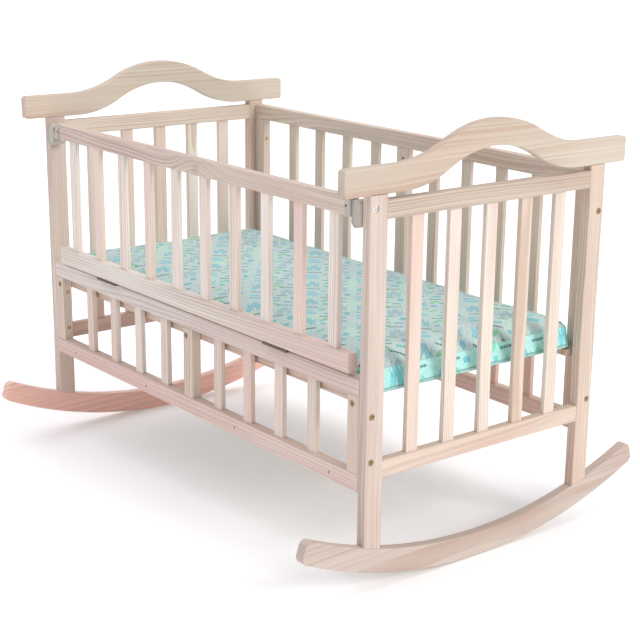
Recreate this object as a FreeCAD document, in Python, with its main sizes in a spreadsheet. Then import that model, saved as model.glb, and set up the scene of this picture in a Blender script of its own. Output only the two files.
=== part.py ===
import FreeCAD, Part
import Sketcher
import math
import os

# Baby cradle on rockers, with a fold-down gate. Millimetres.
# X runs from the head end to the foot end, Y from the gate side to the back, Z up from the floor.
# The origin is under the middle of the cradle, on the floor.

Vector = FreeCAD.Vector
doc = FreeCAD.newDocument("baby_cradle")

DIMENSIONS = {
    # end frames
    "inner_length": 1000, "frame_width": 536, "post_thick": 20, "post_width": 36, "post_top": 671,
    "end_rail_thick": 18, "top_rail_low": 631, "top_rail_deep": 31,
    "end_bottom_low": 200, "end_bottom_deep": 30, "end_slat_pitch": 82,
    # rockers and crest rails
    "rocker_radius": 915, "rocker_deep": 44, "rocker_under_reach": 397, "rocker_upper_reach": 385,
    "rocker_nose": 12, "crest_thick": 18, "crest_deep": 45, "crest_rise": 55, "crest_reach": 320,
    "hump_reach": 215, "hollow_reach": 200, "crest_nose": 7,
    # side panels
    "panel_thick": 20, "stile_width": 30, "side_bottom_low": 175, "side_bottom_deep": 32,
    "lower_top_low": 341, "lower_top_deep": 30, "slat_pitch": 93, "slat_start": 90,
    "slat_width": 24, "end_slat_width": 26, "slat_thick": 10, "tenon": 8,
    "edge_round": 2, "slat_round": 1.5,
    # gate, whose middle lies a little towards the foot end
    "gate_shift": 10, "gate_half": 464, "gate_low": 376.3, "gate_thick": 20, "gate_proud": 8,
    "gate_bottom_deep": 33, "gate_top_low": 634, "gate_top_deep": 31, "gate_rail_round": 7,
    "gate_slat_pitch": 93, "gate_slat_shift": 14,
    # butt hinges
    "hinge_place": 280, "hinge_long": 65, "leaf_thick": 1.2, "knuckle_radius": 2.2, "hinge_pin": 1.1,
    "pin_play": 0.05, "axis_out": -0.5, "leaf_reach": 19, "knuckle_gap": 0.3, "hinge_screw_back": 13,
    "hinge_screw_pitch": 24,
    # latches; a sleeve on the head keeper makes up for the gate's shift
    "head_keeper_wide": 25, "foot_keeper_wide": 19, "keeper_low": 617, "keeper_tall": 45,
    "keeper_deep": 29, "keeper_proud": 6, "keeper_rim": 1.8, "keeper_recess": 0.8,
    "head_sleeve_long": 14, "sleeve_radius": 10,
    "cap_leg": 12, "cap_wall": 2, "cap_end": 6, "cap_tall": 31, "cap_drop": 0.5,
    "cap_screw_in": 3, "cap_screw_up": 16, "pocket_deep": 14,
    "slide_radius": 3, "slide_long": 17, "slide_travel": 10, "slide_level": 640, "slide_in": 4,
    "slide_play": 0.35, "slide_back": 0.5, "thumb_radius": 2.2, "thumb_proud": 1, "thumb_along": 13.5,
    # bed and mattress
    "bed_level": 331, "bed_rail_tall": 12, "bed_rail_wide": 22, "bed_slat_wide": 60, "bed_slat_thick": 8,
    "bed_slat_pitch": 120, "bed_slat_hold": 10, "bed_end_gap": 8, "mattress_long": 988,
    "mattress_wide": 486, "mattress_tall": 61, "mattress_round": 20, "cover_thick": 2,
    # fasteners
    "bolt_radius": 3, "head_radius": 5.5, "head_thick": 3, "head_sunk": 2, "head_room": 0.6,
    "bolt_in": 11, "bolt_short": 2, "nut_radius": 4.5, "nut_long": 12,
    "dowel_radius": 3, "dowel_half": 13.5, "dowel_apart": 8,
    "peg_radius": 4, "peg_half": 14, "peg_side": 7, "peg_in": 8, "bed_bolt_side": 5, "bed_bolt_in": 17,
    "bed_bolt_down": 5,
    "rocker_screw": 75, "rocker_sink": 14,
    "small_screw": 1.5, "small_head": 2.6, "small_head_thick": 1.5, "small_screw_long": 16,
    "leaf_head": 3, "leaf_head_thick": 0.9, "leaf_screw_long": 14,
    "cap_screw": 1.4, "cap_head": 2.4, "cap_head_thick": 1.4, "cap_screw_long": 18,
    "cross_wide": 1.2, "cross_deep": 1.4,
    "pole_hole_side": 6, "pole_hole_level": 611,
}

X_IN = "dims.inner_length / 2"
X_OUT = "(dims.inner_length / 2 + dims.post_thick)"
X_POST = "(dims.inner_length / 2 + dims.post_thick / 2)"
Y_OUT = "dims.frame_width / 2"
Y_POST = "(dims.frame_width / 2 - dims.post_width)"
Y_BOLT = "(dims.frame_width / 2 - dims.bolt_in)"
Y_DOWEL = "(dims.frame_width / 2 - dims.post_width / 2)"
Y_PANEL = "(dims.frame_width / 2 - dims.panel_thick)"
Y_GATE = "(-dims.frame_width / 2 - dims.gate_proud)"
Y_HINGE = "(-dims.frame_width / 2 - dims.gate_proud - dims.axis_out)"
Z_LOWER_TOP = "(dims.lower_top_low + dims.lower_top_deep)"
Z_HINGE = "((dims.lower_top_low + dims.lower_top_deep + dims.gate_low) / 2)"
Z_BOTTOM_TOP = "(dims.side_bottom_low + dims.side_bottom_deep)"
Z_BED_BOLT = "(dims.bed_level - dims.bed_bolt_down)"
R_SINK = "(dims.head_radius + dims.head_room)"
KEEPER_WIDE = {"head": "dims.head_keeper_wide", "foot": "dims.foot_keeper_wide"}
SLEEVE_LONG = {"head": "dims.head_sleeve_long", "foot": "0"}

# What repeats, and the heights and places of the fasteners
ENDS = (("head", -1), ("foot", 1))
LOWER_BOLT_LEVELS = (232, 310)
BACK_BOLT_LEVELS = (239, 588)
KEEPER_BOLT_LEVEL = 650
BOTTOM_SCREW_LEVEL = 189
BOTTOM_SCREW_PLACES = (-425, -150, 150, 425)
END_SLATS = range(-2, 3)
PANEL_SLATS_PER_SIDE = 4
GATE_SLATS = 10
BED_SLATS = 8
KNUCKLES = 5

parts = []


def fill_sheet():
    """Put the driving dimensions in a spreadsheet, one named cell each."""
    cells = doc.addObject("Spreadsheet::Sheet", "dims")
    for row, (alias, size) in enumerate(DIMENSIONS.items(), start=1):
        cells.set(f"A{row}", alias)
        cells.set(f"B{row}", str(size))
        cells.setAlias(f"B{row}", alias)
    doc.recompute()
    return cells


sheet = fill_sheet()


def value(expression):
    """What an expression comes to now."""
    return float(sheet.evalExpression(expression))


def place(item, x, y, z):
    """Bind an object's place to three expressions."""
    for axis, expression in (("x", x), ("y", y), ("z", z)):
        item.setExpression(f"Placement.Base.{axis}", str(expression))
    return item


def keep(item, label):
    """Give a finished sub-part the name that its file takes."""
    item.Label = label
    parts.append(item)
    return item


# ---------------------------------------------------------------- sketches and pads

def arc_edge(start, finish, radius, side):
    """Minor arc from start to finish, with its centre on the left (side 1) or the right (side -1)."""
    chord = finish - start
    middle = (start + finish) * 0.5
    left = Vector(-chord.y, chord.x, 0).normalize()
    centre = middle + left * side * math.sqrt(radius ** 2 - (chord.Length / 2) ** 2)
    first, last = (start, finish) if side > 0 else (finish, start)
    angles = [math.atan2(point.y - centre.y, point.x - centre.x) for point in (first, last)]
    if angles[1] < angles[0]:
        angles[1] += 2 * math.pi
    return Part.ArcOfCircle(Part.Circle(centre, Vector(0, 0, 1), radius), *angles)


def outline(body, role, corners, arcs=None):
    """Closed sketch through the corners; arcs gives {edge: (radius, side)}. All sizes are expressions."""
    arcs = arcs or {}
    sketch = body.newObject("Sketcher::SketchObject", body.Name + "_outline")
    plane = [item for item in body.Origin.OriginFeatures if item.Role == role][0]
    sketch.AttachmentSupport = [(plane, "")]
    sketch.MapMode = "FlatFace"
    points = [Vector(value(x), value(y), 0) for x, y in corners]
    ends = []
    for index, start in enumerate(points):
        finish = points[(index + 1) % len(points)]
        if index in arcs:
            radius, side = arcs[index]
            edge = arc_edge(start, finish, value(radius), side)
            ends.append((1, 2) if side > 0 else (2, 1))
        else:
            edge = Part.LineSegment(start, finish)
            ends.append((1, 2))
        sketch.addGeometry(edge, False)
    for index, (near, far) in enumerate(ends):
        following = (index + 1) % len(ends)
        sketch.addConstraint(Sketcher.Constraint("Coincident", index, far, following, ends[following][0]))
        for kind, expression in zip(("DistanceX", "DistanceY"), corners[index]):
            rule = Sketcher.Constraint(kind, -1, 1, index, near, value(expression))
            number = sketch.addConstraint(rule)
            sketch.setExpression(f"Constraints[{number}]", expression)
    for index, (radius, _side) in arcs.items():
        number = sketch.addConstraint(Sketcher.Constraint("Radius", index, value(radius)))
        sketch.setExpression(f"Constraints[{number}]", radius)
    return sketch


def pad(body, sketch, length, reverse=False):
    """Raise a sketch square to its plane; reverse turns it the other way."""
    feature = body.newObject("PartDesign::Pad", body.Name + "_pad")
    feature.Profile = sketch
    feature.Reversed = reverse
    feature.setExpression("Length", length)
    feature.recompute(True)
    return feature


def edges_along(shape, axis):
    """Names of the straight edges parallel to an axis."""
    names = []
    for number, edge in enumerate(shape.Edges, start=1):
        straight = isinstance(edge.Curve, Part.Line)
        if straight and abs(edge.tangentAt(edge.FirstParameter).dot(axis)) > 0.999:
            names.append(f"Edge{number}")
    return names


def rim_edges(shape, axis):
    """Names of the edges that lie in the two end faces square to an axis."""
    names = []
    for number, edge in enumerate(shape.Edges, start=1):
        span = [vertex.Point.dot(axis) for vertex in edge.Vertexes]
        if abs(span[0] - span[-1]) < 0.001:
            names.append(f"Edge{number}")
    return names


def soften(body, base, names, radius):
    """Round the named edges of a body's last feature."""
    feature = body.newObject("PartDesign::Fillet", body.Name + "_round")
    feature.Base = (base, names)
    feature.setExpression("Radius", radius)
    feature.recompute()
    return feature


AXES = {"x": Vector(1, 0, 0), "y": Vector(0, 1, 0), "z": Vector(0, 0, 1)}
SECTIONS = {"x": ("YZ_Plane", 1, 2), "y": ("XZ_Plane", 0, 2), "z": ("XY_Plane", 0, 1)}


def bar(name, along, sizes, corner, rounding="dims.edge_round"):
    """Straight piece of timber from its lowest corner, with its four long edges eased."""
    body = doc.addObject("PartDesign::Body", name)
    role, first, second = SECTIONS[along]
    across, up = sizes[first], sizes[second]
    sketch = outline(body, role, (("0", "0"), (across, "0"), (across, up), ("0", up)))
    length = sizes["xyz".index(along)]
    feature = pad(body, sketch, length, reverse=along == "y")
    if rounding:
        soften(body, feature, edges_along(feature.Shape, AXES[along]), rounding)
    return place(body, *corner)


def rod(name, along, radius, length, x, y, z):
    """Round bar along +X, +Y or +Z from the middle of its first end."""
    turns = {
        "x": FreeCAD.Rotation(Vector(0, 1, 0), 90),
        "y": FreeCAD.Rotation(Vector(1, 0, 0), -90),
        "z": FreeCAD.Rotation(),
    }
    item = doc.addObject("Part::Cylinder", name)
    item.setExpression("Radius", radius)
    item.setExpression("Height", length)
    item.Placement = FreeCAD.Placement(Vector(), turns[along])
    return place(item, x, y, z)


def block(name, sizes, corner):
    """Square block from its lowest corner."""
    item = doc.addObject("Part::Box", name)
    for prop, expression in zip(("Length", "Width", "Height"), sizes):
        item.setExpression(prop, expression)
    return place(item, *corner)


def group(name, items):
    item = doc.addObject("Part::Compound", name)
    item.Links = items
    return item


def fuse(name, items):
    item = doc.addObject("Part::MultiFuse", name)
    item.Shapes = items
    return item


def cut(name, base, tool):
    item = doc.addObject("Part::Cut", name)
    item.Base = base
    item.Tool = tool
    return item


def cut_all(name, base, tools):
    """Cut one tool after another, because tools may overlap each other."""
    for number, tool in enumerate(tools[:-1]):
        base = cut(f"{name}_cut{number}", base, tool)
    return cut(name, base, tools[-1])


# ---------------------------------------------------------------- fasteners

def screw(name, along, shank, head, long, thick, seat, into):
    """Cross-headed fastener and its blank.

    The head's face is at seat, and the shank runs the way of into (+1 or -1) along an axis.
    """
    x, y, z = seat
    spot = {"x": x, "y": y, "z": z}
    back = dict(spot)
    if into < 0:
        back[along] = f"{spot[along]} - {thick}"
    top = rod(name + "_head", along, head, thick, back["x"], back["y"], back["z"])
    low = dict(spot)
    if into < 0:
        low[along] = f"{spot[along]} - {long}"
    stem = rod(name + "_shank", along, shank, long, low["x"], low["y"], low["z"])
    slots = []
    sides = [axis for axis in "xyz" if axis != along]
    for number, side in enumerate(sides):
        sizes = {axis: "dims.cross_wide" for axis in "xyz"}
        sizes[along] = "dims.cross_deep"
        sizes[side] = f"{head} * 1.1"
        corner = {axis: f"{spot[axis]} - {sizes[axis]} / 2" for axis in "xyz"}
        corner[along] = spot[along] if into > 0 else f"{spot[along]} - dims.cross_deep"
        slots.append(block(f"{name}_slot{number}", [sizes[axis] for axis in "xyz"],
                           [corner[axis] for axis in "xyz"]))
    blank = fuse(name + "_blank", [top, stem])
    return cut_all(name, blank, slots), blank


def fastener_set(label, pairs):
    """Keep the finished fasteners as one sub-part, and return their blanks to cut holes with."""
    keep(group(label, [finished for finished, _blank in pairs]), label)
    return group(label + "_blanks", [blank for _finished, blank in pairs])


def sink(name, along, radius, deep, seat, into):
    """Round bar from seat, which runs the way of into (+1 or -1)."""
    spot = dict(zip("xyz", seat))
    if into < 0:
        spot[along] = f"{spot[along]} - {deep}"
    return rod(name, along, radius, deep, spot["x"], spot["y"], spot["z"])


def panel_fasteners():
    """Bolts through the posts into the side panels' end stiles, with sleeve nuts in the stiles."""
    bolts, nuts, sinks = [], [], []
    for end, sign in ENDS:
        for side, way, levels in (("lower", -1, LOWER_BOLT_LEVELS), ("back", 1, BACK_BOLT_LEVELS)):
            for number, level in enumerate(levels):
                tag = f"{end}_{side}{number}"
                y = f"{way} * {Y_BOLT}"
                face = f"{sign} * {X_OUT}"
                seat = (f"{sign} * ({X_OUT} - dims.head_sunk)", y, str(level))
                length = "(dims.post_thick - dims.head_sunk + dims.stile_width - dims.bolt_short)"
                bolts.append(screw("bolt_" + tag, "x", "dims.bolt_radius", "dims.head_radius", length,
                                   "dims.head_thick", seat, -sign))
                sinks.append(sink("sink_" + tag, "x", R_SINK, "dims.head_sunk",
                                  (face, y, str(level)), -sign))
                inner = f"{sign} * ({X_IN} - dims.stile_width)"
                nuts.append(sink("nut_" + tag, "x", "dims.nut_radius", "dims.nut_long",
                                 (inner, y, str(level)), sign))
    bolt_set = fastener_set("panel_bolts", bolts)
    sleeves = cut("panel_nuts", group("panel_nut_blanks", nuts), bolt_set)
    return bolt_set, keep(sleeves, "panel_nuts"), group("panel_bolt_sinks", sinks)


def bed_fasteners():
    """Bolts through the side panels' stiles into the bed's side rails, with sleeve nuts in the rails."""
    bolts, nuts, sinks = [], [], []
    for side, way in (("gate", -1), ("back", 1)):
        for spot, x in (("head", f"-({X_IN} - dims.bed_bolt_in)"), ("mid", "-dims.bed_bolt_side"),
                        ("foot", f"({X_IN} - dims.bed_bolt_in)")):
            tag = f"bed_{side}_{spot}"
            seat = (x, f"{way} * ({Y_OUT} - dims.head_sunk)", Z_BED_BOLT)
            length = "(dims.panel_thick - dims.head_sunk + dims.bed_rail_wide - dims.bolt_short)"
            bolts.append(screw("bolt_" + tag, "y", "dims.bolt_radius", "dims.head_radius", length,
                               "dims.head_thick", seat, -way))
            sinks.append(sink("sink_" + tag, "y", R_SINK, "dims.head_sunk",
                              (x, f"{way} * {Y_OUT}", Z_BED_BOLT), -way))
            inner = f"{way} * ({Y_PANEL} - dims.bed_rail_wide)"
            nuts.append(sink("nut_" + tag, "y", "dims.nut_radius", "dims.nut_long",
                             (x, inner, Z_BED_BOLT), way))
    bolt_set = fastener_set("bed_bolts", bolts)
    sleeves = cut("bed_nuts", group("bed_nut_blanks", nuts), bolt_set)
    return bolt_set, keep(sleeves, "bed_nuts"), group("bed_bolt_sinks", sinks)


def rocker_fasteners():
    """One long screw up through each rocker into each post, its head sunk in the rocker's underside."""
    screws, sinks = [], []
    under = f"(dims.rocker_radius - sqrt(dims.rocker_radius ^ 2 - {Y_DOWEL} ^ 2))"
    for end, sign in ENDS:
        for side, way in (("gate", -1), ("back", 1)):
            tag = f"rocker_{end}_{side}"
            x, y = f"{sign} * {X_POST}", f"{way} * {Y_DOWEL}"
            seat = (x, y, f"{under} + dims.rocker_sink")
            screws.append(screw("screw_" + tag, "z", "dims.bolt_radius", "dims.head_radius",
                                "dims.rocker_screw", "dims.head_thick", seat, 1))
            sinks.append(rod("sink_" + tag, "z", R_SINK, "2 * dims.rocker_sink", x, y,
                             f"{under} - dims.rocker_sink"))
    return fastener_set("rocker_screws", screws), group("rocker_sinks", sinks)


def end_dowels():
    """Two dowels at each end of each end rail, and one up into the crest rail over each post."""
    rail_dowels, crest_dowels = [], []
    for end, sign in ENDS:
        for way in (-1, 1):
            y = f"{way} * {Y_POST} - dims.dowel_half"
            for level in ("dims.top_rail_low + dims.top_rail_deep / 2",
                          "dims.end_bottom_low + dims.end_bottom_deep / 2"):
                for step in (-1, 1):
                    z = f"{level} + {step} * dims.dowel_apart"
                    tag = f"dowel_{len(rail_dowels)}"
                    rail_dowels.append(rod(tag, "y", "dims.dowel_radius", "2 * dims.dowel_half",
                                           f"{sign} * {X_POST}", y, z))
            crest_dowels.append(rod(f"crest_dowel_{end}_{len(crest_dowels)}", "z", "dims.peg_radius",
                                    "2 * dims.peg_half", f"{sign} * {X_POST}", f"{way} * {Y_DOWEL}",
                                    "dims.post_top - dims.peg_half"))
    return (keep(group("end_rail_dowels", rail_dowels), "end_rail_dowels"),
            keep(group("crest_dowels", crest_dowels), "crest_dowels"))


def stile_dowels():
    """Pegs between the side panels' stiles and their rails."""
    pegs = []
    for side, way, upper in (("lower", -1, "dims.lower_top_low"), ("back", 1, "dims.top_rail_low")):
        for x in (f"-({X_IN} - dims.peg_in)", "dims.peg_side", f"({X_IN} - dims.peg_in)"):
            for level in (Z_BOTTOM_TOP, upper):
                pegs.append(rod(f"peg_{side}_{len(pegs)}", "z", "dims.peg_radius", "2 * dims.peg_half", x,
                                f"{way} * ({Y_OUT} - dims.panel_thick / 2)", f"{level} - dims.peg_half"))
    return keep(group("stile_dowels", pegs), "stile_dowels")


# ---------------------------------------------------------------- end frames

def rocker(end, sign, holes):
    """Curved runner: both long edges follow the same arc, one above the other."""
    radius = "dims.rocker_radius"
    body = doc.addObject("PartDesign::Body", f"{end}_rocker_blank")

    def rise(reach):
        return f"({radius} - sqrt({radius} ^ 2 - {reach} ^ 2))"

    low, high = rise("dims.rocker_under_reach"), rise("dims.rocker_upper_reach") + " + dims.rocker_deep"
    corners = (("-dims.rocker_under_reach", low), ("dims.rocker_under_reach", low),
               ("dims.rocker_upper_reach", high), ("-dims.rocker_upper_reach", high))
    sketch = outline(body, "YZ_Plane", corners, {0: (radius, 1), 2: (radius, -1)})
    runner = pad(body, sketch, "dims.post_thick")
    nosed = soften(body, runner, edges_along(runner.Shape, AXES["x"]), "dims.rocker_nose")
    soften(body, nosed, rim_edges(nosed.Shape, AXES["x"]), "dims.edge_round")
    place(body, X_IN if sign > 0 else f"-{X_OUT}", "0", "0")
    return keep(cut_all(f"{end}_rocker", body, holes), f"{end}_rocker")


def crest(end, sign, holes):
    """Cap board of constant depth with a single hump, which overhangs the posts."""
    body = doc.addObject("PartDesign::Body", f"{end}_crest_blank")
    low, rise = "dims.post_top", "dims.crest_rise"
    high = "(dims.post_top + dims.crest_deep)"
    top = f"(dims.hump_reach ^ 2 + {rise} ^ 2) / (4 * {rise})"
    under = f"(dims.hollow_reach ^ 2 + {rise} ^ 2) / (4 * {rise})"
    half_low, half_high = f"{low} + {rise} / 2", f"{high} + {rise} / 2"
    underside = (("-dims.crest_reach", low), ("-dims.hollow_reach", low),
                 ("-dims.hollow_reach / 2", half_low), ("dims.hollow_reach / 2", half_low),
                 ("dims.hollow_reach", low), ("dims.crest_reach", low))
    topside = (("dims.crest_reach", high), ("dims.hump_reach", high), ("dims.hump_reach / 2", half_high),
               ("-dims.hump_reach / 2", half_high), ("-dims.hump_reach", high), ("-dims.crest_reach", high))
    arcs = {1: (under, 1), 2: (under, -1), 3: (under, 1), 7: (top, -1), 8: (top, 1), 9: (top, -1)}
    board = pad(body, outline(body, "YZ_Plane", underside + topside, arcs), "dims.crest_thick")
    ends = [name for name in edges_along(board.Shape, AXES["x"])
            if abs(board.Shape.getElement(name).Vertexes[0].Point.y) > value("dims.crest_reach") - 1]
    nosed = soften(body, board, ends, "dims.crest_nose")
    soften(body, nosed, rim_edges(nosed.Shape, AXES["x"]), "dims.edge_round")
    inset = "(dims.post_thick - dims.crest_thick) / 2"
    place(body, f"{X_IN} + {inset}" if sign > 0 else f"-{X_OUT} + {inset}", "0", "0")
    return keep(cut_all(f"{end}_crest_rail", body, holes), f"{end}_crest_rail")


def post(end, sign, side, way, holes):
    """Upright whose foot follows the hollow top of the rocker."""
    name = f"{end}_{side}_post"
    x = X_IN if sign > 0 else f"-{X_OUT}"
    y = Y_POST if way > 0 else f"-{Y_OUT}"
    blank = bar(name + "_blank", "z", ("dims.post_thick", "dims.post_width", "dims.post_top"), (x, y, "0"))
    bed = rod(name + "_foot", "x", "dims.rocker_radius", "dims.post_thick", x, "0",
              "dims.rocker_radius + dims.rocker_deep")
    footed = doc.addObject("Part::Common", name + "_footed")
    footed.Base = blank
    footed.Tool = bed
    return keep(cut_all(name, footed, holes), name)


def slats_between(name, along_y, places, low, high, x="0"):
    """Row of flat slats, their ends let into the rails above and below by the tenon length."""
    items = []
    tall = f"({high} - {low} + 2 * dims.tenon)"
    start = f"{low} - dims.tenon"
    for number, spot in enumerate(places):
        label = f"{name}_{number}"
        if along_y:
            sizes = ("dims.slat_thick", "dims.end_slat_width", tall)
            corner = (f"{x} - dims.slat_thick / 2", f"{spot} - dims.end_slat_width / 2", start)
        else:
            sizes = ("dims.slat_width", "dims.slat_thick", tall)
            corner = (f"{spot} - dims.slat_width / 2", x, start)
        items.append(bar(label, "z", sizes, corner, "dims.slat_round"))
    return keep(group(name, items), name)


def end_frame(end, sign, holes):
    """One whole end: rocker, two posts, two rails with their slats, and the crest rail."""
    middle = f"{sign} * {X_POST}"
    low = "dims.end_bottom_low + dims.end_bottom_deep"
    places = [f"{step} * dims.end_slat_pitch" for step in END_SLATS]
    slats = slats_between(f"{end}_slats", True, places, f"({low})", "dims.top_rail_low", middle)
    long = f"2 * {Y_POST}"
    for rail, level, deep in (("top", "dims.top_rail_low", "dims.top_rail_deep"),
                              ("bottom", "dims.end_bottom_low", "dims.end_bottom_deep")):
        name = f"{end}_{rail}_rail"
        corner = (f"{middle} - dims.end_rail_thick / 2", f"-{Y_POST}", level)
        blank = bar(name + "_blank", "y", ("dims.end_rail_thick", long, deep), corner)
        keep(cut_all(name, blank, [slats, holes["rail_dowels"]]), name)
    rocker(end, sign, [holes["rocker_screws"], holes["rocker_sinks"]])
    crest(end, sign, [holes["crest_dowels"]])
    bores = [holes[key] for key in ("rail_dowels", "crest_dowels", "rocker_screws", "panel_bolts",
                                    "panel_sinks")]
    post(end, sign, "front", -1, bores + [holes["keeper_bolts"], holes["keeper_sinks"]])
    post(end, sign, "rear", 1, bores)


# ---------------------------------------------------------------- side panels

def side_panel(side, way, top_low, top_deep, holes):
    """Fixed slatted side: two through rails, three stiles and a row of slats each side of the middle."""
    y = Y_PANEL if way > 0 else f"-{Y_OUT}"
    places = []
    for sign in (-1, 1):
        for step in range(PANEL_SLATS_PER_SIDE):
            places.append(f"{sign} * (dims.slat_start + {step} * dims.slat_pitch)")
    middle = f"{y} + (dims.panel_thick - dims.slat_thick) / 2"
    slats = slats_between(f"{side}_slats", False, places, Z_BOTTOM_TOP, top_low, middle)
    bores = [slats, holes["stile_dowels"], holes["bottom_screws"]]
    if side == "lower":
        bores.append(holes["hinge_leaves"])
    for rail, level, deep in (("top", top_low, top_deep),
                              ("bottom", "dims.side_bottom_low", "dims.side_bottom_deep")):
        name = f"{side}_{rail}_rail"
        blank = bar(name + "_blank", "x", ("dims.inner_length", "dims.panel_thick", deep),
                    (f"-{X_IN}", y, level))
        keep(cut_all(name, blank, bores), name)
    tall = f"({top_low} - {Z_BOTTOM_TOP})"
    for spot, left in (("head", f"-{X_IN}"), ("middle", "-dims.stile_width / 2"),
                       ("foot", f"{X_IN} - dims.stile_width")):
        name = f"{side}_{spot}_stile"
        blank = bar(name + "_blank", "z", ("dims.stile_width", "dims.panel_thick", tall),
                    (left, y, Z_BOTTOM_TOP))
        tools = [holes[key] for key in ("stile_dowels", "panel_bolts", "panel_nuts", "bed_bolts",
                                        "bed_sinks")]
        if side == "back" and spot == "middle":
            tools.append(rod("pole_hole", "y", "dims.bolt_radius", "dims.panel_thick",
                             "dims.pole_hole_side", Y_PANEL, "dims.pole_hole_level"))
        keep(cut_all(name, blank, tools), name)


def rail_screws():
    """Screws on the face of the lower side's bottom rail."""
    screws = []
    for number, x in enumerate(BOTTOM_SCREW_PLACES):
        seat = (str(x), f"-{Y_OUT}", str(BOTTOM_SCREW_LEVEL))
        screws.append(screw(f"rail_screw_{number}", "y", "dims.small_screw", "dims.small_head",
                            "dims.small_screw_long", "dims.small_head_thick", seat, 1))
    return fastener_set("bottom_rail_screws", screws)


# ---------------------------------------------------------------- bed

def bed(holes):
    """Two side rails with the bed slats let into their tops."""
    slats = []
    wide = f"2 * ({Y_PANEL} - dims.bed_rail_wide + dims.bed_slat_hold)"
    for number in range(BED_SLATS):
        spot = f"({number - (BED_SLATS - 1) / 2}) * dims.bed_slat_pitch - dims.bed_slat_wide / 2"
        corner = (spot, f"-{Y_PANEL} + dims.bed_rail_wide - dims.bed_slat_hold",
                  "dims.bed_level - dims.bed_slat_thick")
        sizes = ("dims.bed_slat_wide", wide, "dims.bed_slat_thick")
        slats.append(bar(f"bed_slat_{number}", "y", sizes, corner, "dims.slat_round"))
    slat_set = keep(group("bed_slats", slats), "bed_slats")
    long = "(dims.inner_length - 2 * dims.bed_end_gap)"
    for side, y in (("front", f"-{Y_PANEL}"), ("rear", f"{Y_PANEL} - dims.bed_rail_wide")):
        name = f"bed_{side}_rail"
        corner = (f"-{long} / 2", y, "dims.bed_level - dims.bed_rail_tall")
        blank = bar(name + "_blank", "x", (long, "dims.bed_rail_wide", "dims.bed_rail_tall"), corner, None)
        keep(cut_all(name, blank, [slat_set, holes["bed_bolts"], holes["bed_nuts"]]), name)


def cushion(name, inset):
    """Pad with every edge rounded, inset from the mattress's outer size."""
    body = doc.addObject("PartDesign::Body", name)
    half_long, half_wide = f"(dims.mattress_long / 2 - {inset})", f"(dims.mattress_wide / 2 - {inset})"
    corners = ((f"-{half_long}", f"-{half_wide}"), (half_long, f"-{half_wide}"),
               (half_long, half_wide), (f"-{half_long}", half_wide))
    raised = pad(body, outline(body, "XY_Plane", corners), f"(dims.mattress_tall - 2 * {inset})")
    names = [f"Edge{number}" for number in range(1, len(raised.Shape.Edges) + 1)]
    soften(body, raised, names, f"(dims.mattress_round - {inset})")
    return place(body, "0", "0", f"dims.bed_level + {inset}")


def mattress():
    """Foam pad inside its closed cover."""
    core = keep(cushion("mattress_core", "dims.cover_thick"), "mattress_core")
    keep(cut("mattress_cover", cushion("mattress_cover_outer", "0"), core), "mattress_cover")


# ---------------------------------------------------------------- gate

def leaf(end, sign, upper):
    """Hinge leaf: a plate and its own knuckles, the other leaf's knuckles left out."""
    name = f"{end}_{'gate' if upper else 'frame'}_leaf"
    start = f"{sign} * dims.hinge_place - dims.hinge_long / 2"
    step = f"dims.hinge_long / {KNUCKLES}"
    reach = "(dims.leaf_reach - dims.knuckle_radius - dims.knuckle_gap)"
    z = "dims.gate_low - dims.leaf_thick" if upper else Z_LOWER_TOP
    pieces = [block(name + "_plate", ("dims.hinge_long", reach, "dims.leaf_thick"),
                    (start, f"{Y_HINGE} + dims.knuckle_radius + dims.knuckle_gap", z))]
    for number in range(1 if upper else 0, KNUCKLES, 2):
        x = f"{start} + {number} * {step} + dims.knuckle_gap / 2"
        long = f"({step} - dims.knuckle_gap)"
        pieces.append(rod(f"{name}_knuckle{number}", "x", "dims.knuckle_radius", long, x, Y_HINGE, Z_HINGE))
        web = (long, "(dims.knuckle_radius + 2 * dims.knuckle_gap)", "dims.leaf_thick")
        pieces.append(block(f"{name}_web{number}", web, (x, Y_HINGE, z)))
    bore = rod(name + "_bore", "x", "(dims.hinge_pin + dims.pin_play)", "(dims.hinge_long + 2)",
               f"{start} - 1", Y_HINGE, Z_HINGE)
    return cut(name + "_blank", fuse(name + "_whole", pieces), bore)


def hinges():
    """Two butt hinges between the lower side's top rail and the gate, with their pins and screws."""
    leaves, pins, screws = {}, [], {"gate": [], "frame": []}
    for end, sign in ENDS:
        for kind, way in (("gate", 1), ("frame", -1)):
            leaves[end, kind] = leaf(end, sign, kind == "gate")
            face = "dims.gate_low - dims.leaf_thick" if way > 0 else f"{Z_LOWER_TOP} + dims.leaf_thick"
            for number, step in enumerate((-1, 0, 1)):
                seat = (f"{sign} * dims.hinge_place + {step} * dims.hinge_screw_pitch",
                        f"{Y_HINGE} + dims.hinge_screw_back", f"({face})")
                tag = f"hinge_screw_{end}_{kind}{number}"
                screws[kind].append(screw(tag, "z", "dims.small_screw", "dims.leaf_head",
                                          "dims.leaf_screw_long", "dims.leaf_head_thick", seat, way))
        pins.append(rod(f"{end}_pin", "x", "dims.hinge_pin", "dims.hinge_long",
                        f"{sign} * dims.hinge_place - dims.hinge_long / 2", Y_HINGE, Z_HINGE))
    sets = {kind: fastener_set(f"{kind}_hinge_screws", screws[kind]) for kind in screws}
    for (end, kind), blank in leaves.items():
        keep(cut(f"{end}_{kind}_leaf", blank, sets[kind]), f"{end}_{kind}_leaf")
    keep(group("hinge_pins", pins), "hinge_pins")
    return sets


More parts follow.
